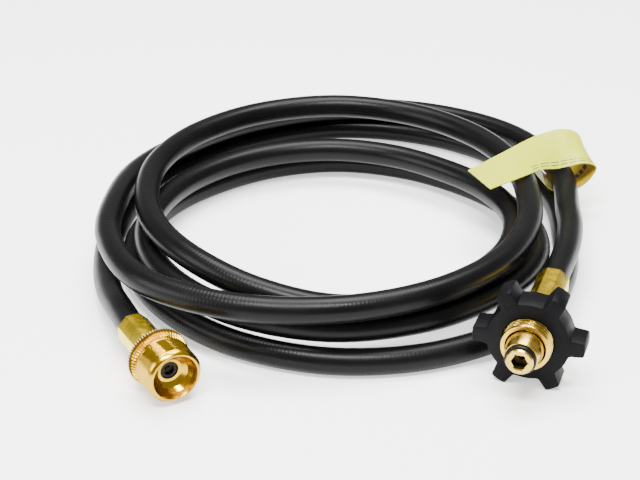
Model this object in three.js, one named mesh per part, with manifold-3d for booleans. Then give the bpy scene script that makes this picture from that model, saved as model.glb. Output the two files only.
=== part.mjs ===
// Propane adapter hose, loosely coiled on a flat surface.
// One end has a soft-nose POL fitting with a handwheel, for a refillable gas cylinder. The other
// end has a male 1"-20 fitting shaped like the top of a disposable cylinder, with a check valve.
// Millimetres, +Z up. The origin is on the surface, under the middle of the two end fittings.

import * as THREE from 'three';
import { mergeVertices } from 'three/addons/utils/BufferGeometryUtils.js';
import Module from 'manifold-3d';

const wasm = await Module();
wasm.setup();

// ---------------------------------------------------------------- driving dimensions

const GAP = 0.3;                    // clearance between pieces that touch

const HOSE_RADIUS = 6.35;           // 1/2 in outside diameter
const HOSE_BORE_RADIUS = 3.6;       // 1/4 in bore, stretched over the barbs
const HOSE_SIDES = 10;

const COIL_CENTRE = [-6.3, 112.8];    // middle of the coil on the surface

// Radius and height of the hose's middle at eight places round each turn:
// left, back left, back, back right, right, front right, front, front left.
const COIL_TURNS = [
  [[116, 6.4], [122, 6.4], [142, 6.4], [137, 6.4], [118, 6.4], [124, 6.4], [120, 6.4], [109, 6.4]],
  [[102, 6.4], [93, 6.4], [94, 6.4], [94, 6.4], [102, 9.5], [108, 17.5], [111, 18], [103, 18]],
  [[95, 18], [87, 18.5], [83, 18.5], [81, 18.5], [91, 18.5], [92, 18.5], [93, 18.5], [94.5, 29.5]],
  [[96.5, 31.5], [108, 31.5], [117, 31], [107, 31], [98, 31], [106, 31.6], [117, 31.4], [126, 31]],
  [[112, 28.5], [121, 20.5], [139, 19.6], [139, 21.5], [119, 21.5]],
];
const PLACES_PER_TURN = 8;
const POINTS_PER_PLACE = 2;         // 16 route points for each turn

// The stretches between the coil and the two fittings, chosen by hand.
const CYLINDER_LEAD = [
  [-106.6, 27.8, 12.6],
  [-114.1, 47.8, 9.8],
  [-119.3, 69.8, 7.4],
  [-122.3, 92.8, 6.4],
];
const POL_LEAD = [
  [111, 91.8, 22],
  [106.1, 69.3, 22.8],
];

// End fittings. A place along a fitting is measured from its origin, positive towards its front.
const CYLINDER_FACE = new THREE.Vector3(-75.1, -32.6, 14);
const CYLINDER_HEADING = -60.5;     // direction of the fitting's front, degrees from +X
const CYLINDER_SWIVEL_BACK = -26;
const CYLINDER_FERRULE = [-47.5, -28.5];
const POL_WHEEL_CENTRE = new THREE.Vector3(79.3, -11.7, 22.9);
const POL_HEADING = -108.5;
const POL_FERRULE = [-50, -24];

const THREAD_RADIUS = 12.7;         // 1 in - 20 male thread
const KNURL_RADIUS = 14;
const POL_NUT_RADIUS = 11.25;       // 0.885 in - 14 left-hand male thread
const WHEEL_RADIUS = 25;
const WHEEL_HALF_DEPTH = 6.5;
const WHEEL_PRONGS = 6;

const BARB_RADIUS = 3.15;
const STEM_BORE_RADIUS = 1.8;
const FERRULE_BORE_RADIUS = 6.75;
const FERRULE_CORNER = 8.05;        // corner of the eight-sided crimp

const COARSE = 32;                  // facets round a large turned piece
const FINE = 20;                    // facets round a small one

const LABEL_THICKNESS = 0.5;
// Front and back edge of the folded label strip, from the free tip over the hose and back under it.
const LABEL_EDGES = [
  [[71.2, 102.3, 39], [61.7, 124.3, 39]],
  [[89.7, 117.8, 38.8], [81.7, 144.8, 40]],
  [[100.7, 132.8, 35.5], [98.7, 162.8, 40.5]],
  [[110.7, 143.8, 31], [111.7, 170.8, 41.5]],
  [[118.7, 148.8, 30.5], [120.7, 173.3, 40.5]],
  [[126.7, 150.8, 31], [126.7, 174.8, 36]],
  [[133.2, 153.8, 27], [127.7, 174.8, 29]],
  [[129.7, 152.8, 20], [123.7, 173.8, 20]],
  [[122.7, 151.3, 15.2], [118.7, 173.8, 15.2]],
  [[115.7, 150.3, 13.7], [111.9, 173.8, 13.6]],
  [[107.7, 149.8, 16.6], [102.7, 171.8, 16.2]],
  [[104.7, 145.8, 23], [100.1, 169.3, 24.5]],
  [[102.7, 139.8, 30], [97.7, 162.8, 33]],
];

// ---------------------------------------------------------------- materials

const finish = (color, roughness, metalness) =>
  new THREE.MeshStandardMaterial({ color, roughness, metalness });

const MATERIALS = {
  rubber: finish(0x1b1b1c, 0.55, 0),
  seal: finish(0x101010, 0.5, 0),
  brass: finish(0xd9ae4f, 0.25, 1),
  lemonBrass: finish(0xdcc752, 0.25, 1),
  steel: finish(0xb9bcc0, 0.3, 1),
  plastic: finish(0x202024, 0.6, 0),
  vinyl: finish(0xf2ee86, 0.5, 0),
};

// ---------------------------------------------------------------- shared shapes

// A turned piece: each profile point is [radius, place along the axis].
function turned(profile, facets = COARSE) {
  const points = profile.map(([radius, along]) => new THREE.Vector2(radius, along));
  if (THREE.ShapeUtils.area(points) < 0) points.reverse();
  const closed = points[0].x > 0;
  if (closed) points.push(points[0].clone());
  return new THREE.LatheGeometry(points, facets);
}

// A prism along the local Y axis between two places, with an optional round bore.
function prism(outline, from, to, boreRadius) {
  const shape = new THREE.Shape(outline);
  if (boreRadius) shape.holes.push(new THREE.Path().absarc(0, 0, boreRadius, 0, 2 * Math.PI));
  const solid = new THREE.ExtrudeGeometry(shape, {
    depth: to - from,
    bevelEnabled: false,
    curveSegments: FINE,
  });
  return solid.rotateX(-Math.PI / 2).translate(0, from, 0);
}

function toManifold(geometry) {
  const bare = geometry.clone();
  bare.deleteAttribute('normal');
  bare.deleteAttribute('uv');
  const merged = mergeVertices(bare);
  return new wasm.Manifold(new wasm.Mesh({
    numProp: 3,
    vertProperties: new Float32Array(merged.attributes.position.array),
    triVerts: new Uint32Array(merged.index.array),
  }));
}

function fromManifold(solid) {
  const { vertProperties, triVerts } = solid.getMesh();
  const geometry = new THREE.BufferGeometry();
  geometry.setAttribute('position', new THREE.BufferAttribute(vertProperties, 3));
  geometry.setIndex(new THREE.BufferAttribute(triVerts, 1));
  geometry.computeVertexNormals();
  return geometry;
}

// A path through given stations, with one facet between each pair.
class StationPath extends THREE.Curve {
  constructor(stations) {
    super();
    this.stations = stations;
  }

  getUtoTmapping(u) {
    return u;
  }

  getPoint(t) {
    const place = Math.min(Math.max(t, 0), 1) * (this.stations.length - 1);
    const index = Math.min(Math.floor(place), this.stations.length - 2);
    return this.stations[index].clone().lerp(this.stations[index + 1], place - index);
  }
}

function circleOutline(radius, sides) {
  const outline = [];
  for (let i = 0; i < sides; i += 1) {
    const angle = ((i + 0.5) / sides) * 2 * Math.PI;
    outline.push(new THREE.Vector2(radius * Math.cos(angle), radius * Math.sin(angle)));
  }
  return outline;
}

function tube(stations, radius, sides) {
  return new THREE.ExtrudeGeometry(new THREE.Shape(circleOutline(radius, sides)), {
    steps: stations.length - 1,
    extrudePath: new StationPath(stations),
  });
}

// A compression spring about the local Y axis.
function spring(meanRadius, wireRadius, from, to, turns) {
  const stepsPerTurn = 10;
  const stations = [];
  for (let i = 0; i <= turns * stepsPerTurn; i += 1) {
    const angle = (i / stepsPerTurn) * 2 * Math.PI;
    const along = from + ((to - from) * i) / (turns * stepsPerTurn);
    stations.push(new THREE.Vector3(meanRadius * Math.cos(angle), along, meanRadius * Math.sin(angle)));
  }
  return tube(stations, wireRadius, 6);
}

// An O-ring: a round section of the given radius about the local Y axis.
function oRing(meanRadius, sectionRadius, along) {
  const profile = circleOutline(sectionRadius, 10).map((p) => [meanRadius + p.x, along + p.y]);
  return turned(profile, FINE);
}

function mesh(name, geometry, material) {
  const piece = new THREE.Mesh(geometry, material);
  piece.name = name;
  return piece;
}

// Where a fitting lies: its local +Y runs along its axis, towards its front.
function fittingMatrix(origin, heading) {
  const turn = THREE.MathUtils.degToRad(heading - 90);
  return new THREE.Matrix4().makeRotationZ(turn).setPosition(origin);
}

function fittingGroup(origin, heading, pieces) {
  const group = new THREE.Group();
  group.applyMatrix4(fittingMatrix(origin, heading));
  group.add(...pieces);
  return group;
}

// The place of a point along a fitting's axis, in the part's frame.
function alongFitting(origin, heading, distance) {
  return new THREE.Vector3(0, distance, 0).applyMatrix4(fittingMatrix(origin, heading));
}

// ---------------------------------------------------------------- hose

function coilPoints() {
  const places = COIL_TURNS.flat().map(([radius, height], index) =>
    new THREE.Vector3(radius, height, Math.PI - (index * 2 * Math.PI) / PLACES_PER_TURN));
  const polar = new THREE.CatmullRomCurve3(places, false, 'catmullrom', 0.5);
  return polar.getPoints((places.length - 1) * POINTS_PER_PLACE).map(({ x: radius, y: height, z: angle }) =>
    new THREE.Vector3(
      COIL_CENTRE[0] + radius * Math.cos(angle),
      COIL_CENTRE[1] + radius * Math.sin(angle),
      height,
    ));
}

function hose() {
  const vectors = (list) => list.map((point) => new THREE.Vector3(...point));
  const stations = [
    ...[-29.2, -47.5].map((along) => alongFitting(CYLINDER_FACE, CYLINDER_HEADING, along)),
    ...vectors(CYLINDER_LEAD),
    ...coilPoints(),
    ...vectors(POL_LEAD),
    ...[-60, -24.2].map((along) => alongFitting(POL_WHEEL_CENTRE, POL_HEADING, along)),
  ];
  const barrel = toManifold(tube(stations, HOSE_RADIUS, HOSE_SIDES));
  const ends = [
    [fittingMatrix(CYLINDER_FACE, CYLINDER_HEADING), -49, -20],
    [fittingMatrix(POL_WHEEL_CENTRE, POL_HEADING), -50, -20],
  ];
  const bored = ends.reduce((solid, [place, from, to]) => {
    const bore = prism(circleOutline(HOSE_BORE_RADIUS, FINE), from, to);
    return solid.subtract(toManifold(bore.applyMatrix4(place)));
  }, barrel);
  return mesh('hose', fromManifold(bored), MATERIALS.rubber);
}

// ---------------------------------------------------------------- shared end pieces

// A barbed stem that runs inside the hose, from its tip forward to its collar.
function barbProfile(tip, collar) {
  const profile = [[2.6, tip]];
  const ridge = 4;
  for (let along = tip + ridge; along <= collar - 2; along += ridge) {
    profile.push([BARB_RADIUS, along], [2.7, along + 0.4]);
  }
  profile.push([2.7, collar]);
  return profile;
}

function ferrule(name, [back, front]) {
  const crimp = prism(circleOutline(FERRULE_CORNER, 8), back, front, FERRULE_BORE_RADIUS);
  return mesh(name, crimp, MATERIALS.lemonBrass);
}

// ---------------------------------------------------------------- cylinder end

function cylinderFitting() {
  const back = CYLINDER_SWIVEL_BACK;
  return mesh('cylinder_fitting', turned([
    [10.4, 0], [11.2, 0],
    [THREAD_RADIUS, -1.8], [THREAD_RADIUS, -13.5],
    [11.8, -14], [11.8, -15.2], [12.4, -15.2], [KNURL_RADIUS, -17.2], [KNURL_RADIUS, -20.2], [12.6, -21],
    [10, -21], [10, back + 0.5], [9.5, back],
    [6.6, back], [6.6, -25], [7.6, -25], [7.6, -23.4], [6.6, -23.4], [6.6, -21],
    [3.9, -21], [3.9, -16], [1, -16], [1, -14.6], [4.25, -14.6],
    [4.25, -7], [5.6, -6.7], [7.8, -5], [9.4, -2.6],
  ]), MATERIALS.brass);
}

function cylinderHoseStem() {
  return mesh('cylinder_hose_stem', turned([
    [STEM_BORE_RADIUS, -47],
    ...barbProfile(-47, -28.6),
    [5.6, -28.6], [5.6, -26.4], [4.4, -26.4], [4.4, -23.1],
    [6.2, -23.1], [6.2, -21.4], [3.5, -21.4], [3.5, -20], [2.6, -20], [2.6, -18], [3.5, -18],
    [3.5, -16.4], [STEM_BORE_RADIUS, -16.4],
  ], FINE), MATERIALS.brass);
}

// An open snap ring in the groove behind the stem's flange.
function swivelRetainingRing() {
  const shape = new THREE.Shape();
  const halfOpening = 0.35;
  shape.absarc(0, 0, 7.25, halfOpening, 2 * Math.PI - halfOpening);
  shape.absarc(0, 0, 4.8, 2 * Math.PI - halfOpening, halfOpening, true);
  const ring = new THREE.ExtrudeGeometry(shape, { depth: 1, bevelEnabled: false, curveSegments: FINE });
  return mesh('swivel_retaining_ring', ring.rotateX(-Math.PI / 2).translate(0, -24.7, 0), MATERIALS.steel);
}

function valveCore() {
  return mesh('valve_core', turned([
    [3.9, -9.2], [3.9, -14.2], [2.1, -14.2], [2.1, -10.1], [1.45, -9.8], [1.45, -9.2],
  ], FINE), MATERIALS.brass);
}

function valvePin() {
  return mesh('valve_pin', turned([
    [0, -8.2], [0.9, -8.4], [1.1, -8.8], [1.1, -10.4], [1.75, -10.6], [1.75, -11.2],
    [0.6, -11.4], [0.6, -14.4], [0, -14.4],
  ], FINE), MATERIALS.steel);
}

function cylinderEnd() {
  return fittingGroup(CYLINDER_FACE, CYLINDER_HEADING, [
    cylinderFitting(),
    cylinderHoseStem(),
    mesh('swivel_o_ring', oRing(3.2, 0.35, -19), MATERIALS.seal),
    swivelRetainingRing(),
    mesh('valve_gasket', turned([[3.9, -7.3], [3.9, -8.9], [2.3, -8.9], [2.3, -7.3]], FINE), MATERIALS.seal),
    valveCore(),
    valvePin(),
    mesh('valve_spring', spring(1.4, 0.22, -14.3, -11.5, 3), MATERIALS.steel),
    ferrule('cylinder_ferrule', CYLINDER_FERRULE),
  ]);
}

// ---------------------------------------------------------------- POL end

function polNut() {
  const grooves = [11.4, 9.6, 7.8].flatMap((along) => [
    [POL_NUT_RADIUS, along - 0.2], [POL_NUT_RADIUS - 1, along - 0.9], [POL_NUT_RADIUS, along - 1.6],
  ]);
  return mesh('pol_nut', turned([
    [9.1, 12], [10.8, 12], ...grooves,
    [POL_NUT_RADIUS, -WHEEL_HALF_DEPTH - GAP], [13, -WHEEL_HALF_DEPTH - GAP], [13, -10], [12, -10.8],
    [5.4, -10.8], [5.4, 3.6], [9.1, 3.6],
  ]), MATERIALS.brass);
}

function handwheel() {
  const outline = [];
  const hub = 18.6;
  const prongHalfWidth = 3.7;
  for (let prong = 0; prong < WHEEL_PRONGS; prong += 1) {
    const middle = (prong * 2 * Math.PI) / WHEEL_PRONGS;
    const add = (radius, angle) =>
      outline.push(new THREE.Vector2(radius * Math.cos(angle), radius * Math.sin(angle)));
    const root = 0.27;
    const tip = Math.asin(prongHalfWidth / WHEEL_RADIUS);
    add(hub, middle - root - 0.12);
    add(hub + 1.2, middle - root + 0.03);
    add(WHEEL_RADIUS - 1, middle - tip);
    add(WHEEL_RADIUS, middle - tip * 0.7);
    add(WHEEL_RADIUS, middle + tip * 0.7);
    add(WHEEL_RADIUS - 1, middle + tip);
    add(hub + 1.2, middle + root - 0.03);
    add(hub, middle + root + 0.12);
  }
  const wheel = prism(outline, -WHEEL_HALF_DEPTH, WHEEL_HALF_DEPTH, POL_NUT_RADIUS + GAP);
  return mesh('handwheel', wheel, MATERIALS.plastic);
}

// The nose that seats in the cylinder valve, with the long barrel that the nut turns on.
function polNipple() {
  return mesh('pol_nipple', turned([
    [3.2, 24], [5.6, 24], [6.15, 23.4], [6.15, 22.8], [4.7, 22.8], [4.7, 20.4], [7.3, 20.4],
    [8.6, 12], [8.6, 4], [5, 4], [5, -16], [6.6, -16.6], [6.6, -20],
    [3.7, -20], [3.7, -7], [3.2, -7], [3.2, 3.6], [1.6, 4.6], [1.6, 18.5], [3.2, 19],
  ]), MATERIALS.brass);
}

function polHoseStem() {
  return mesh('pol_hose_stem', turned([
    [STEM_BORE_RADIUS, -48.5],
    ...barbProfile(-48.5, -23.7),
    [6, -23.7], [6, -20.3], [3.4, -20.3], [3.4, -8.4], [STEM_BORE_RADIUS, -8.4],
  ], FINE), MATERIALS.brass);
}

function excessFlowPoppet() {
  return mesh('excess_flow_poppet', turned([
    [0, 2.9], [1.2, 2.6], [2.8, 1.4], [2.8, 0.2], [1.7, 0], [1.7, -3], [0.9, -3.2], [0.9, -4.7], [0, -4.7],
  ], FINE), MATERIALS.brass);
}

function polEnd() {
  return fittingGroup(POL_WHEEL_CENTRE, POL_HEADING, [
    handwheel(),
    polNut(),
    polNipple(),
    mesh('nose_o_ring', oRing(6, 0.95, 21.6), MATERIALS.seal),
    mesh('excess_flow_seat', turned([[2.9, -6.8], [2.9, -5.2], [1.3, -5.2], [1.3, -6.8]], FINE), MATERIALS.seal),
    excessFlowPoppet(),
    mesh('excess_flow_spring', spring(2.3, 0.3, -4.8, -0.2, 4), MATERIALS.steel),
    polHoseStem(),
    ferrule('pol_ferrule', POL_FERRULE),
  ]);
}

// ---------------------------------------------------------------- label

// A thin strip lofted between its front and back edges.
function label() {
  const positions = [];
  const corners = LABEL_EDGES.map(([front, back]) => [new THREE.Vector3(...front), new THREE.Vector3(...back)]);
  corners.forEach(([front, back], index) => {
    const before = corners[Math.max(index - 1, 0)][0];
    const after = corners[Math.min(index + 1, corners.length - 1)][0];
    const across = back.clone().sub(front);
    const half = after.clone().sub(before).cross(across).setLength(LABEL_THICKNESS / 2);
    for (const [edge, side] of [[front, -1], [back, -1], [back, 1], [front, 1]]) {
      positions.push(...edge.clone().addScaledVector(half, side).toArray());
    }
  });
  const index = [];
  const quad = (a, b, c, d) => index.push(a, b, c, a, c, d);
  for (let i = 0; i < corners.length - 1; i += 1) {
    for (let side = 0; side < 4; side += 1) {
      const next = (side + 1) % 4;
      quad(4 * i + side, 4 * i + next, 4 * i + 4 + next, 4 * i + 4 + side);
    }
  }
  const last = 4 * (corners.length - 1);
  quad(3, 2, 1, 0);
  quad(last, last + 1, last + 2, last + 3);
  const geometry = new THREE.BufferGeometry();
  geometry.setAttribute('position', new THREE.Float32BufferAttribute(positions, 3));
  geometry.setIndex(index);
  geometry.computeVertexNormals();
  return mesh('label', geometry, MATERIALS.vinyl);
}

// ---------------------------------------------------------------- assembly

const assembly = new THREE.Group();
assembly.add(hose(), label(), cylinderEnd(), polEnd());
export default assembly;
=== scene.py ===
"""A gas adapter hose, loosely coiled, with a handwheel fitting and a dished cylinder fitting."""

import math

import bmesh
import bpy
from mathutils import Matrix, Vector


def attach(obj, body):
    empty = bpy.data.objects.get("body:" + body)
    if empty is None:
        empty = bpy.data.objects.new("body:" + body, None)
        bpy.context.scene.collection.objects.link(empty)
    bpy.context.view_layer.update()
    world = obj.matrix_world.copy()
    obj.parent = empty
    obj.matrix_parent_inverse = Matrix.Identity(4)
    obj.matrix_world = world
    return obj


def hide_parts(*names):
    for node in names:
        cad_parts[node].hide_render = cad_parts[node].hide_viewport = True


MM = 0.001
TURN = 2 * math.pi

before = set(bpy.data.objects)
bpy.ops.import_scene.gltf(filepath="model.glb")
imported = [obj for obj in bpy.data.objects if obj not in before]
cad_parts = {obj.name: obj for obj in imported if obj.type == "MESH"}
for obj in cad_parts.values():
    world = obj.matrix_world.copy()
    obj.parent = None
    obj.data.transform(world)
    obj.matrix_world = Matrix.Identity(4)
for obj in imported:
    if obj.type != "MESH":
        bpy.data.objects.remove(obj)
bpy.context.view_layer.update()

# ---------------------------------------------------------------- driving dimensions (mm)

HOSE_RADIUS = 6.35
HOSE_BORE_RADIUS = 3.6
HOSE_SIDES = 28
HOSE_RING_STEP = 2.5
RIB_PITCH = 1.8
RIB_HEIGHT = 0.000014

COIL_CENTRE = (-6.3, 112.8)

# Radius and height of the hose's middle at eight places round each turn:
# left, back left, back, back right, right, front right, front, front left.
COIL_TURNS = [
    [(116, 6.4), (122, 6.4), (142, 6.4), (137, 6.4), (118, 6.4), (124, 6.4), (120, 6.4), (109, 6.4)],
    [(102, 6.4), (93, 6.4), (94, 6.4), (94, 6.4), (102, 9.5), (108, 17.5), (111, 18), (103, 18)],
    [(95, 18), (87, 18.5), (83, 18.5), (81, 18.5), (91, 18.5), (92, 18.5), (93, 18.5), (94.5, 29.5)],
    [(96.5, 31.5), (108, 31.5), (117, 31), (107, 31), (98, 31), (106, 31.6), (117, 31.4), (126, 31)],
    [(112, 28.5), (121, 20.5), (139, 19.6), (139, 21.5), (119, 21.5)],
]
PLACES_PER_TURN = 8
POINTS_PER_PLACE = 2

CYLINDER_LEAD = [(-106.6, 27.8, 12.6), (-114.1, 47.8, 9.8), (-119.3, 69.8, 7.4), (-122.3, 92.8, 6.4)]
POL_LEAD = [(111, 91.8, 22), (106.1, 69.3, 22.8)]

CYLINDER_FACE = (-75.1, -32.6, 14)
CYLINDER_HEADING = -60.5
POL_WHEEL_CENTRE = (79.3, -11.7, 22.9)
POL_HEADING = -108.5

THREAD_RADIUS = 12.7
THREAD_PITCH = 1.27
POL_NUT_RADIUS = 11.25
POL_THREAD_PITCH = 1.814
FERRULE_CORNER = 8.05
FERRULE_BORE_RADIUS = 6.6
KNURL_TEETH = 66
KNURL_DEPTH = 0.75
# Radius and place of the knurled ring's toothed rows, over its front cone and its rim.
KNURL_ROWS = [(12.6, -15.3), (13.3, -16.25), (13.95, -17.2), (14, -17.5), (14, -18.8), (14, -20.2)]

# Front and back edge of the folded label strip, from the free tip over the hose and back under it.
LABEL_EDGES = [
    ((71.2, 102.3, 39), (61.7, 124.3, 39)),
    ((89.7, 117.8, 38.8), (81.7, 144.8, 40)),
    ((100.7, 132.8, 35.5), (98.7, 162.8, 40.5)),
    ((110.7, 143.8, 31), (111.7, 170.8, 41.5)),
    ((118.7, 148.8, 30.5), (120.7, 173.3, 40.5)),
    ((126.7, 150.8, 31), (126.7, 174.8, 36)),
    ((133.2, 153.8, 27), (127.7, 174.8, 29)),
    ((129.7, 152.8, 20), (123.7, 173.8, 20)),
    ((122.7, 151.3, 15.2), (118.7, 173.8, 15.2)),
    ((115.7, 150.3, 13.7), (111.9, 173.8, 13.6)),
    ((107.7, 149.8, 16.6), (102.7, 171.8, 16.2)),
    ((104.7, 145.8, 23), (100.1, 169.3, 24.5)),
    ((102.7, 139.8, 30), (97.7, 162.8, 33)),
]
LABEL_THICKNESS = 0.4
LABEL_STEPS = 8
LABEL_COLUMNS = (0, 0.07, 0.095, 0.15, 0.175, 0.25, 0.4, 0.48, 0.56, 0.7, 0.85, 1)
LINE_COLUMNS = (1, 3)               # two thin printed lines along the outer face
LINE_ROWS = range(12, 46)
BAR_COLUMNS = (6, 7)                # a row of short bars on the inner face
BAR_ROWS = range(52, 72)

# ---------------------------------------------------------------- camera

CAMERA_ELEVATION = 28
CAMERA_DISTANCE = 780
CAMERA_LENS = 84.4
FLOOR_GLOW = 0.8
WORLD_GLOW = 0.45

# Soft rectangular lights: name, place in metres, size in metres, power in watts.
LIGHTS = [
    ("strip_light", (-0.1, -0.42, 1.15), (0.8, 0.26), 40),
    ("top_light", (0.1, 0.5, 1.5), (1.2, 0.8), 70),
    ("left_light", (-1.3, -0.35, 0.6), (0.9, 0.7), 20),
]
LIGHT_AIM = (0, 0.1, 0)


def add_camera():
    """The camera looks along +Y and down on the middle of the coil."""
    data = bpy.data.cameras.new("camera")
    data.lens = CAMERA_LENS
    data.shift_x = -0.025
    data.shift_y = 0.0125
    data.clip_start = 0.01
    camera = bpy.data.objects.new("camera", data)
    tilt = math.radians(CAMERA_ELEVATION)
    away = Vector((0, -math.cos(tilt), math.sin(tilt))) * CAMERA_DISTANCE
    camera.location = (Vector((*COIL_CENTRE, 0)) + away) * MM
    camera.rotation_euler = (math.radians(90 - CAMERA_ELEVATION), 0, 0)
    bpy.context.collection.objects.link(camera)
    bpy.context.scene.camera = camera


# ---------------------------------------------------------------- shared shapes


def fitting_place(origin, heading):
    """Where a fitting lies: its local +Y runs along its axis, towards its front."""
    return Matrix.Translation(Vector(origin)) @ Matrix.Rotation(math.radians(heading - 90), 4, "Z")


CYLINDER_PLACE = fitting_place(CYLINDER_FACE, CYLINDER_HEADING)
POL_PLACE = fitting_place(POL_WHEEL_CENTRE, POL_HEADING)


def catmull_rom(points, steps):
    """Points on a smooth curve through the given ones, with so many steps between each pair."""
    padded = [2 * points[0] - points[1], *points, 2 * points[-1] - points[-2]]
    found = []
    for a, b, c, d in zip(padded, padded[1:], padded[2:], padded[3:]):
        for step in range(steps):
            t = step / steps
            found.append(
                b
                + (c - a) * (t / 2)
                + (2 * a - 5 * b + 4 * c - d) * (t * t / 2)
                + (3 * b - a - 3 * c + d) * (t**3 / 2)
            )
    return [*found, points[-1].copy()]


def add_piece(name, vertices, faces, material, body, slot, replaces=(), sharp=30):
    """A piece from points in mm in the row's frame, smooth but for its sharp edges."""
    mesh = bpy.data.meshes.new(name)
    mesh.from_pydata([Vector(v) * MM for v in vertices], [], faces)
    work = bmesh.new()
    work.from_mesh(mesh)
    bmesh.ops.recalc_face_normals(work, faces=work.faces)
    work.to_mesh(mesh)
    work.free()
    mesh.polygons.foreach_set("use_smooth", [True] * len(mesh.polygons))
    mesh.set_sharp_from_angle(angle=math.radians(sharp))
    mesh.materials.append(material)
    piece = bpy.data.objects.new(name, mesh)
    bpy.context.collection.objects.link(piece)
    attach(piece, body)
    if replaces:
        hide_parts(*replaces)
    return piece


def rounded(profile, size, closed=True):
    """The profile with each corner rounded off by up to that size."""
    count = len(profile)
    points = [Vector(p) for p in profile]
    found = []
    for i, corner in enumerate(points):
        if not closed and i in (0, count - 1):
            found.append(corner)
            continue
        before = points[i - 1] - corner
        after = points[(i + 1) % count] - corner
        reach = min(size, before.length * 0.45, after.length * 0.45)
        start = corner + before.normalized() * reach
        end = corner + after.normalized() * reach
        for t in (0, 0.33, 0.67, 1):
            found.append(start * (1 - t) ** 2 + corner * (2 * t * (1 - t)) + end * t**2)
    return [tuple(p) for p in found]


def turned(name, profile, place, segments=96, relief=None, closed=True, **piece):
    """A turned piece: profile points are (radius, place along the axis).

    relief(radius, along, angle) gives the radius where threads or teeth change it.
    A profile that isn't closed starts and ends on the axis.
    """
    vertices = []
    rows = []
    for radius, along in profile:
        on_axis = radius < 1e-6
        row = []
        for i in range(1 if on_axis else segments):
            angle = i * TURN / segments
            r = relief(radius, along, angle) if relief else radius
            row.append(len(vertices))
            vertices.append(place @ Vector((r * math.sin(angle), along, r * math.cos(angle))))
        rows.append(row)
    pairs = list(zip(rows, rows[1:]))
    if closed:
        pairs.append((rows[-1], rows[0]))
    faces = []
    for a, b in pairs:
        for i in range(segments):
            j = (i + 1) % segments
            if len(a) == 1:
                faces.append((a[0], b[j], b[i]))
            elif len(b) == 1:
                faces.append((a[i], a[j], b[0]))
            else:
                faces.append((a[i], a[j], b[j], b[i]))
    return add_piece(name, vertices, faces, **piece)


def lofted(name, rings, place, **piece):
    """A closed piece through rings of equal length: each is (outline points, place along)."""
    vertices = []
    for outline, along in rings:
        vertices.extend(place @ Vector((x, along, z)) for x, z in outline)
    size = len(rings[0][0])
    faces = []
    for a in range(len(rings)):
        b = (a + 1) % len(rings)
        for i in range(size):
            j = (i + 1) % size
            faces.append((a * size + i, a * size + j, b * size + j, b * size + i))
    return add_piece(name, vertices, faces, **piece)


def circle(radius, angles):
    return [(radius * math.cos(a), radius * math.sin(a)) for a in angles]


def inset(outline, amount):
    """The outline moved inwards by that much."""
    points = [Vector(p) for p in outline]
    found = []
    for i, point in enumerate(points):
        before = (point - points[i - 1]).normalized()
        after = (points[(i + 1) % len(points)] - point).normalized()
        along = (before + after).normalized()
        normal = Vector((-along.y, along.x))
        stretch = max(normal.dot(Vector((-before.y, before.x))), 0.5)
        found.append(tuple(point + normal * (amount / stretch)))
    return found


# ---------------------------------------------------------------- materials


def new_material(name, colour, roughness, metallic=0.0, specular=0.5):
    """A material with its shader set, and its nodes for more."""
    material = bpy.data.materials.new(name)
    material.use_nodes = True
    shader = material.node_tree.nodes["Principled BSDF"]
    shader.inputs["Base Color"].default_value = (*colour, 1)
    shader.inputs["Roughness"].default_value = roughness
    shader.inputs["Metallic"].default_value = metallic
    shader.inputs["Specular IOR Level"].default_value = specular
    return material, shader


def add_node(material, kind, **inputs):
    node = material.node_tree.nodes.new(kind)
    for key, value in inputs.items():
        if key in node.inputs:
            node.inputs[key].default_value = value
        else:
            setattr(node, key, value)
    return node


def link(material, source, target):
    material.node_tree.links.new(source, target)


def noise(material, scale, detail=3.0, stretch=(1, 1, 1)):
    """Noise in the object's own coordinates, with scale in features per metre."""
    coordinates = add_node(material, "ShaderNodeTexCoord")
    mapping = add_node(material, "ShaderNodeMapping", Scale=stretch)
    texture = add_node(material, "ShaderNodeTexNoise", Scale=scale, Detail=detail)
    link(material, coordinates.outputs["Object"], mapping.inputs["Vector"])
    link(material, mapping.outputs["Vector"], texture.inputs["Vector"])
    return texture.outputs["Fac"]


def between(material, factor, low, high):
    """A value that runs from low to high as the factor runs from 0.3 to 0.7."""
    node = add_node(material, "ShaderNodeMapRange")
    node.inputs["From Min"].default_value = 0.3
    node.inputs["From Max"].default_value = 0.7
    node.inputs["To Min"].default_value = low
    node.inputs["To Max"].default_value = high
    link(material, factor, node.inputs["Value"])
    return node.outputs["Result"]


def mixed_colour(material, factor, low, high):
    node = add_node(material, "ShaderNodeMix", data_type="RGBA")
    colours = [s for s in node.inputs if s.type == "RGBA"]
    colours[0].default_value = (*low, 1)
    colours[1].default_value = (*high, 1)
    link(material, factor, node.inputs["Factor"])
    return next(s for s in node.outputs if s.type == "RGBA")


def bumped(material, shader, height, strength, distance):
    node = add_node(material, "ShaderNodeBump", Strength=strength, Distance=distance)
    link(material, height, node.inputs["Height"])
    link(material, node.outputs["Normal"], shader.inputs["Normal"])
    return node


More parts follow.
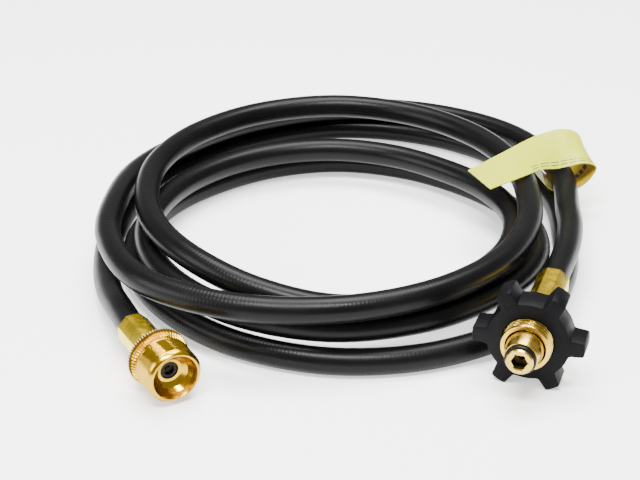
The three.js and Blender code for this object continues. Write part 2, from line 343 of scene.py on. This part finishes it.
def hose_rubber():
    """Black rubber with the fine cross ribs that its cloth wrap leaves. U runs along it in mm."""
    material, shader = new_material("hose_rubber", (0.002, 0.002, 0.002), 0.33, specular=0.11)
    uv = add_node(material, "ShaderNodeUVMap")
    split = add_node(material, "ShaderNodeSeparateXYZ")
    link(material, uv.outputs["UV"], split.inputs["Vector"])
    phase = add_node(material, "ShaderNodeMath", operation="MULTIPLY")
    phase.inputs[1].default_value = TURN / RIB_PITCH
    link(material, split.outputs["X"], phase.inputs[0])
    wave = add_node(material, "ShaderNodeMath", operation="SINE")
    link(material, phase.outputs["Value"], wave.inputs[0])
    ribs = bumped(material, shader, wave.outputs["Value"], 1.0, RIB_HEIGHT)
    grain = add_node(material, "ShaderNodeBump", Strength=0.25, Distance=0.0001)
    link(material, noise(material, 900), grain.inputs["Height"])
    link(material, grain.outputs["Normal"], ribs.inputs["Normal"])
    patches = noise(material, 35)
    link(material, between(material, patches, 0.28, 0.38), shader.inputs["Roughness"])
    colour = mixed_colour(material, patches, (0.0015, 0.0015, 0.0017), (0.003, 0.003, 0.0032))
    link(material, colour, shader.inputs["Base Color"])
    return material


def seal_rubber():
    material, shader = new_material("seal_rubber", (0.003, 0.003, 0.003), 0.4, specular=0.12)
    bumped(material, shader, noise(material, 2500), 0.2, 0.0001)
    return material


def brass(name, colour, darker, roughness):
    """Machined brass: clouded a little, with fine scratches."""
    material, shader = new_material(name, colour, roughness, metallic=1.0)
    clouds = noise(material, 160)
    link(material, mixed_colour(material, clouds, colour, darker), shader.inputs["Base Color"])
    polish = between(material, clouds, roughness * 0.8, roughness * 1.5)
    link(material, polish, shader.inputs["Roughness"])
    bumped(material, shader, noise(material, 900, stretch=(1, 1, 6)), 0.12, 0.0001)
    return material


def black_plastic():
    """Moulded plastic with a fine texture."""
    material, shader = new_material("black_plastic", (0.0015, 0.0015, 0.002), 0.4, specular=0.07)
    bumped(material, shader, noise(material, 2600), 0.25, 0.0002)
    clouds = noise(material, 120)
    link(material, between(material, clouds, 0.42, 0.58), shader.inputs["Roughness"])
    return material


def steel():
    material, shader = new_material("spring_steel", (0.6, 0.6, 0.6), 0.3, metallic=1.0)
    bumped(material, shader, noise(material, 1500), 0.15, 0.0001)
    return material


def label_outside():
    material, shader = new_material("label_outside", (0.46, 0.5, 0.004), 0.45)
    clouds = noise(material, 60)
    colour = mixed_colour(material, clouds, (0.48, 0.52, 0.005), (0.43, 0.47, 0.003))
    link(material, colour, shader.inputs["Base Color"])
    return material


def label_inside():
    material, shader = new_material("label_inside", (0.5, 0.33, 0.003), 0.45)
    clouds = noise(material, 60)
    colour = mixed_colour(material, clouds, (0.52, 0.35, 0.003), (0.46, 0.3, 0.003))
    link(material, colour, shader.inputs["Base Color"])
    return material


def print_ink():
    material, shader = new_material("print_ink", (0.05, 0.05, 0.03), 0.5)
    bumped(material, shader, noise(material, 3000), 0.1, 0.00005)
    return material


RUBBER = hose_rubber()
SEAL = seal_rubber()
BRASS = brass("brass", (0.58, 0.36, 0.02), (0.38, 0.21, 0.008), 0.17)
PALE_BRASS = brass("pale_brass", (0.6, 0.42, 0.08), (0.42, 0.27, 0.035), 0.2)
FERRULE_BRASS = brass("ferrule_brass", (0.84, 0.6, 0.02), (0.72, 0.48, 0.012), 0.24)
# Brass darkened as painted shade, for the inside of the nipple's socket and for the valve core in the
# dish.
SHADED_BRASS = brass("shaded_brass", (0.09, 0.055, 0.015), (0.05, 0.03, 0.01), 0.45)
PLASTIC = black_plastic()
STEEL = steel()
LABEL_OUTSIDE = label_outside()
LABEL_INSIDE = label_inside()
INK = print_ink()

# ---------------------------------------------------------------- hose


def coil_points():
    places = [place for turn in COIL_TURNS for place in turn]
    polar = [
        Vector((radius, height, math.pi - i * TURN / PLACES_PER_TURN))
        for i, (radius, height) in enumerate(places)
    ]
    smooth = catmull_rom(polar, POINTS_PER_PLACE)
    return [
        Vector((COIL_CENTRE[0] + r * math.cos(a), COIL_CENTRE[1] + r * math.sin(a), z))
        for r, z, a in smooth
    ]


def hose_route():
    """The hose's middle, from one ferrule to the other, as evenly spaced points in mm."""
    along = lambda place, distance: place @ Vector((0, distance, 0))
    points = [
        along(CYLINDER_PLACE, -29.2),
        along(CYLINDER_PLACE, -38),
        along(CYLINDER_PLACE, -47.5),
        *[Vector(p) for p in CYLINDER_LEAD],
        *coil_points(),
        *[Vector(p) for p in POL_LEAD],
        along(POL_PLACE, -60),
        along(POL_PLACE, -48),
        along(POL_PLACE, -36),
        along(POL_PLACE, -24.2),
    ]
    fine = catmull_rom(points, 24)
    lengths = [0.0]
    for a, b in zip(fine, fine[1:]):
        lengths.append(lengths[-1] + (b - a).length)
    count = round(lengths[-1] / HOSE_RING_STEP)
    even = []
    i = 0
    for k in range(count + 1):
        goal = lengths[-1] * k / count
        while i < len(fine) - 2 and lengths[i + 1] < goal:
            i += 1
        share = (goal - lengths[i]) / (lengths[i + 1] - lengths[i])
        even.append(fine[i].lerp(fine[i + 1], min(max(share, 0), 1)))
    return even, lengths[-1]


def add_hose():
    """One tube along the route, bored at both ends for the barbs."""
    route, length = hose_route()
    last = len(route) - 1
    bore_rings = 9
    rings = [(i, HOSE_BORE_RADIUS) for i in range(bore_rings, -1, -1)]
    rings += [(i, HOSE_RADIUS) for i in range(last + 1)]
    rings += [(last - i, HOSE_BORE_RADIUS) for i in range(bore_rings + 1)]
    up = Vector((0, 0, 1))
    vertices = []
    for i, radius in rings:
        ahead = (route[min(i + 1, last)] - route[max(i - 1, 0)]).normalized()
        side = ahead.cross(up).normalized()
        top = side.cross(ahead)
        for k in range(HOSE_SIDES):
            angle = k * TURN / HOSE_SIDES
            vertices.append(route[i] + (side * math.cos(angle) + top * math.sin(angle)) * radius)
    faces = []
    for a in range(len(rings) - 1):
        for k in range(HOSE_SIDES):
            n = (k + 1) % HOSE_SIDES
            faces.append((
                a * HOSE_SIDES + k, a * HOSE_SIDES + n,
                (a + 1) * HOSE_SIDES + n, (a + 1) * HOSE_SIDES + k,
            ))
    first_cap = tuple(range(HOSE_SIDES))
    last_cap = tuple((len(rings) - 1) * HOSE_SIDES + k for k in range(HOSE_SIDES))
    hose = add_piece(
        "hose_tube", vertices, [*faces, first_cap, last_cap], RUBBER,
        "hose_assembly", "hose_rubber", ["hose"], sharp=50,
    )
    layer = hose.data.uv_layers.new(name="UVMap")
    for polygon in hose.data.polygons:
        corners = [hose.data.loops[i].vertex_index for i in polygon.loop_indices]
        wraps = len(corners) == 4 and {0, HOSE_SIDES - 1} <= {c % HOSE_SIDES for c in corners}
        for loop, corner in zip(polygon.loop_indices, corners):
            ring, k = divmod(corner, HOSE_SIDES)
            around = HOSE_SIDES if wraps and k == 0 else k
            layer.data[loop].uv = (rings[ring][0] * length / last, around / HOSE_SIDES)


# ---------------------------------------------------------------- fittings


def thread_rows(start, end, radius, pitch):
    """Close rows of profile points along a thread, from start to end."""
    count = round(abs(end - start) / (pitch / 10))
    return [(radius, start + (end - start) * i / count) for i in range(count + 1)]


def thread_depth(along, angle, pitch, depth, hand):
    """How far a helical thread cuts in: flat crests and round roots."""
    phase = (along / pitch + hand * angle / TURN) % 1
    return depth * min(1, max(0, 1.25 * (0.5 - 0.5 * math.cos(TURN * phase)) - 0.15))


def fade(along, start, end, length):
    """1 inside the stretch from start down to end, running to 0 over that length at both ends."""
    return max(0, min(1, (start - along) / length, (along - end) / length))


def add_cylinder_fitting():
    thread_start, thread_end = -1.9, -13.6
    profile = rounded([
        (4.25, -7), (5.6, -6.7), (7.8, -5), (9.4, -2.6), (10.4, 0), (11.2, 0), (12.5, -1.6),
    ], 0.3, closed=False)
    profile += thread_rows(thread_start, thread_end, THREAD_RADIUS, THREAD_PITCH)
    profile += rounded([(12.5, -13.9), (11.8, -14.2), (11.8, -15.2), (12.1, -15.2)], 0.2, closed=False)
    profile += KNURL_ROWS
    profile += rounded([
        (12.9, -20.9), (10, -21), (10, -25.4), (9.5, -26), (6.6, -26), (6.6, -25), (7.6, -25),
        (7.6, -23.4), (6.6, -23.4), (6.6, -21), (3.9, -21), (3.9, -16), (1, -16), (1, -14.6),
        (4.25, -14.6),
    ], 0.25, closed=False)

    def relief(radius, along, angle):
        if radius == THREAD_RADIUS:
            cut = thread_depth(along, angle, THREAD_PITCH, 0.5, 1)
            return radius - cut * fade(along, thread_start + 0.4, thread_end - 0.4, 1.2)
        if (radius, along) in KNURL_ROWS:
            return radius - KNURL_DEPTH * abs(math.sin(KNURL_TEETH / 2 * angle))
        return radius

    turned(
        "cylinder_fitting_body", profile, CYLINDER_PLACE, segments=KNURL_TEETH * 6, relief=relief,
        material=BRASS, body="swivel_fitting", slot="brass", replaces=["cylinder_fitting"], sharp=40,
    )


def octagon(corner):
    """Eight flats with barely rounded corners, one flat on top."""
    flat = corner * math.cos(TURN / 16)
    found = []
    for side in range(8):
        for share in (0, 0.46, 0.5, 0.54):
            angle = (side + share) * TURN / 8
            off_flat = min(share, 1 - share) * TURN / 8
            radius = min(flat / math.cos(off_flat), corner * 0.992)
            found.append((radius * math.cos(angle), radius * math.sin(angle)))
    return found


def add_ferrule(name, place, back, front, node):
    """A sleeve crimped on the hose by eight flat jaws."""
    pressed = octagon(FERRULE_CORNER)
    angles = [math.atan2(z, x) for x, z in pressed]
    bore = circle(FERRULE_BORE_RADIUS, angles)
    chamfer = 0.3
    rings = [
        (bore, back),
        (inset(pressed, chamfer), back),
        (pressed, back + chamfer),
        (pressed, front - chamfer),
        (inset(pressed, chamfer), front),
        (bore, front),
    ]
    lofted(
        name, rings, place, material=FERRULE_BRASS, body="hose_assembly", slot="ferrule_brass",
        replaces=[node], sharp=20,
    )


def wheel_outline():
    """The handwheel's edge: six prongs with straight sides and rounded corners."""
    hub, tip_radius, half_width = 18.6, 25, 3.75
    outline = []
    for prong in range(6):
        middle = prong * math.pi / 3
        root = math.asin(half_width / hub)
        tip = math.asin(half_width / tip_radius)
        for share in (-1, -0.85):
            outline.append((hub, middle + (math.pi / 6) * share))
        outline += [
            (hub + 0.05, middle - root * 1.35), (hub + 0.35, middle - root * 1.12),
            (hub + 1.3, middle - root * 1.0), (tip_radius - 1.3, middle - tip * 1.03),
            (tip_radius - 0.4, middle - tip * 0.93), (tip_radius, middle - tip * 0.72),
            (tip_radius + 0.05, middle),
            (tip_radius, middle + tip * 0.72), (tip_radius - 0.4, middle + tip * 0.93),
            (tip_radius - 1.3, middle + tip * 1.03), (hub + 1.3, middle + root * 1.0),
            (hub + 0.35, middle + root * 1.12), (hub + 0.05, middle + root * 1.35),
        ]
        outline.append((hub, middle + (math.pi / 6) * 0.85))
    return [(r * math.cos(a), r * math.sin(a)) for r, a in outline], [a for _, a in outline]


def add_handwheel():
    outline, angles = wheel_outline()
    half = 6.5
    bore = POL_NUT_RADIUS + 0.1
    rings = []
    for side in (1, -1):
        stack = [
            (circle(bore, angles), side * (half - 0.5)),
            (circle(bore + 0.5, angles), side * half),
            (circle(14, angles), side * half),
            (inset(outline, 0.55), side * half),
            (inset(outline, 0.18), side * (half - 0.16)),
            (outline, side * (half - 0.55)),
        ]
        rings += stack if side > 0 else reversed(stack)
    lofted(
        "handwheel_body", rings, POL_PLACE, material=PLASTIC, body="wheel_and_nut",
        slot="black_plastic", replaces=["handwheel"], sharp=35,
    )


def add_pol_nut():
    thread_start, thread_end = 11.5, 0
    profile = rounded([(5.4, 3.6), (9.1, 3.6), (9.1, 12), (10.9, 12)], 0.25, closed=False)
    profile += thread_rows(thread_start, thread_end, POL_NUT_RADIUS, POL_THREAD_PITCH)
    profile += rounded([
        (POL_NUT_RADIUS - 0.01, -6.8), (13, -6.8), (13, -10), (12, -10.8), (5.4, -10.8),
    ], 0.3, closed=False)

    def relief(radius, along, angle):
        if radius != POL_NUT_RADIUS:
            return radius
        cut = thread_depth(along, angle, POL_THREAD_PITCH, 1.15, -1)
        return radius - cut * fade(along, thread_start + 0.3, thread_end, 0.9)

    turned(
        "pol_nut_body", profile, POL_PLACE, segments=144, relief=relief,
        material=PALE_BRASS, body="wheel_and_nut", slot="brass", replaces=["pol_nut"], sharp=40,
    )


def add_pol_nipple():
    """The nose, its O-ring groove, the barrel behind it and the hexagonal socket in its tip."""
    socket_end, socket_corner = 19.2, 3.75

    def relief(radius, along, angle):
        if radius != socket_corner:
            return radius
        sector = (angle + math.pi / 6) % (math.pi / 3) - math.pi / 6
        return min(socket_corner, 3.3 / math.cos(sector))

    profile = [(socket_corner, socket_end), (socket_corner, 23.6), (4.1, 24)]
    profile += rounded([
        (5.6, 24), (6.15, 23.4), (6.15, 22.8), (4.7, 22.8), (4.7, 20.4), (7.3, 20.4), (8.6, 12),
        (8.6, 4), (5, 4), (5, -16), (6.6, -16.6), (6.6, -20),
        (3.7, -20), (3.7, -7), (3.2, -7), (3.2, 3.6), (1.6, 4.6), (1.6, 18.5),
    ], 0.3, closed=False)
    segments = 96
    nipple = turned(
        "pol_nipple_body", profile, POL_PLACE, segments=segments, relief=relief,
        material=PALE_BRASS, body="hose_assembly", slot="brass", replaces=["pol_nipple"], sharp=35,
    )
    # The socket's inside faces take the darkened brass, as painted shade in the recess.
    nipple.data.materials.append(SHADED_BRASS)
    socket_rows = (0, len(profile) - 2, len(profile) - 1)
    for polygon in nipple.data.polygons:
        if polygon.index // segments in socket_rows:
            polygon.material_index = 1


def o_ring_profile(radius, section, along):
    return [
        (radius + section * math.cos(i * TURN / 20), along + section * math.sin(i * TURN / 20))
        for i in range(20)
    ]


def add_small_pieces():
    turned(
        "nose_seal", o_ring_profile(6, 1.05, 21.6), POL_PLACE, material=SEAL,
        body="hose_assembly", slot="seal_rubber", replaces=["nose_o_ring"],
    )
    turned(
        "dish_gasket", rounded([(4, -7.3), (4, -8.9), (2.3, -8.9), (2.3, -7.3)], 0.3), CYLINDER_PLACE,
        segments=48, material=SEAL, body="swivel_fitting", slot="seal_rubber", replaces=["valve_gasket"],
    )


CAD_MATERIALS = {
    "cylinder_hose_stem": BRASS,
    "pol_hose_stem": PALE_BRASS,
    # painted shade: the valve core takes darkened brass for the shade in the dish
    "valve_core": SHADED_BRASS,
    "excess_flow_poppet": BRASS,
    "excess_flow_seat": SEAL,
    "swivel_o_ring": SEAL,
    "excess_flow_spring": STEEL,
    "swivel_retaining_ring": STEEL,
    # painted shade: the valve pin takes black seal rubber for the shade in the dish
    "valve_pin": SEAL,
    "valve_spring": STEEL,
}


def finish_cad_nodes():
    """Materials for the CAD pieces that stay; the valve's pin and core look dark in the dish, so they
    get dark materials as painted shade.
    """
    for name, material in CAD_MATERIALS.items():
        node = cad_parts[name]
        for slot in node.material_slots:
            slot.material = material


# ---------------------------------------------------------------- label


def label_mark(row, column, inner):
    """Which of the label's materials a cell has: its two faces, and plain bars for print."""
    if inner:
        return 2 if column in BAR_COLUMNS and row in BAR_ROWS and row % 3 else 1
    return 2 if column in LINE_COLUMNS and row in LINE_ROWS and row % 5 else 0


def add_label():
    """The folded strip, smooth along its length, with its print on both faces."""
    fronts = catmull_rom([Vector(f) for f, _ in LABEL_EDGES], LABEL_STEPS)
    backs = catmull_rom([Vector(b) for _, b in LABEL_EDGES], LABEL_STEPS)
    rows = [[f.lerp(b, share) for share in LABEL_COLUMNS] for f, b in zip(fronts, backs)]
    count = len(rows)
    vertices = []
    for i, row in enumerate(rows):
        ahead = rows[min(i + 1, count - 1)][0] - rows[max(i - 1, 0)][0]
        half = ahead.cross(row[-1] - row[0]).normalized() * (LABEL_THICKNESS / 2)
        vertices.extend([*[p + half for p in row], *[p - half for p in row]])
    width = len(LABEL_COLUMNS)
    last = width - 1
    faces = []
    marks = []
    for i in range(count - 1):
        a, b = i * 2 * width, (i + 1) * 2 * width
        for k in range(last):
            faces.append((a + k, a + k + 1, b + k + 1, b + k))
            marks.append(label_mark(i, k, False))
            faces.append((a + width + k, a + width + k + 1, b + width + k + 1, b + width + k))
            marks.append(label_mark(i, k, True))
        faces.append((a, b, b + width, a + width))
        faces.append((a + last, b + last, b + width + last, a + width + last))
        marks += [0, 0]
    for start in (0, (count - 1) * 2 * width):
        for k in range(last):
            faces.append((start + k, start + k + 1, start + width + k + 1, start + width + k))
            marks.append(0)
    label = add_piece(
        "label_strip", vertices, faces, LABEL_OUTSIDE,
        "hose_assembly", "label_vinyl", ["label"], sharp=60,
    )
    label.data.materials.append(LABEL_INSIDE)
    label.data.materials.append(INK)
    label.data.polygons.foreach_set("material_index", marks)


# ---------------------------------------------------------------- floor and lights


def add_floor():
    """A white surface that glows a little, as an over-lit studio sweep does."""
    floor_material, shader = new_material("floor", (0.9, 0.9, 0.9), 0.7)
    shader.inputs["Emission Color"].default_value = (1, 1, 1, 1)
    shader.inputs["Emission Strength"].default_value = FLOOR_GLOW
    mesh = bpy.data.meshes.new("floor")
    mesh.from_pydata([(-6, -6, 0), (6, -6, 0), (6, 6, 0), (-6, 6, 0)], [], [(0, 1, 2, 3)])
    mesh.materials.append(floor_material)
    floor = bpy.data.objects.new("floor", mesh)
    bpy.context.collection.objects.link(floor)


def add_light(name, place, size, power):
    """A soft rectangular light aimed near the coil's middle."""
    data = bpy.data.lights.new(name, "AREA")
    data.shape = "RECTANGLE"
    data.size, data.size_y = size
    data.energy = power
    light = bpy.data.objects.new(name, data)
    light.location = place
    aim = Vector(LIGHT_AIM) - Vector(place)
    light.rotation_euler = aim.to_track_quat("-Z", "Y").to_euler()
    bpy.context.collection.objects.link(light)


def add_lights():
    for light in LIGHTS:
        add_light(*light)
    world = bpy.data.worlds.new("world")
    world.use_nodes = True
    world.node_tree.nodes["Background"].inputs["Color"].default_value = (1, 1, 1, 1)
    world.node_tree.nodes["Background"].inputs["Strength"].default_value = WORLD_GLOW
    bpy.context.scene.world = world


# ---------------------------------------------------------------- assembly

add_camera()
add_hose()
add_cylinder_fitting()
add_ferrule("cylinder_crimp", CYLINDER_PLACE, -47.5, -28.5, "cylinder_ferrule")
add_handwheel()
add_pol_nut()
add_pol_nipple()
add_ferrule("pol_crimp", POL_PLACE, -50, -24, "pol_ferrule")
add_small_pieces()
finish_cad_nodes()
add_label()
add_floor()
add_lights()
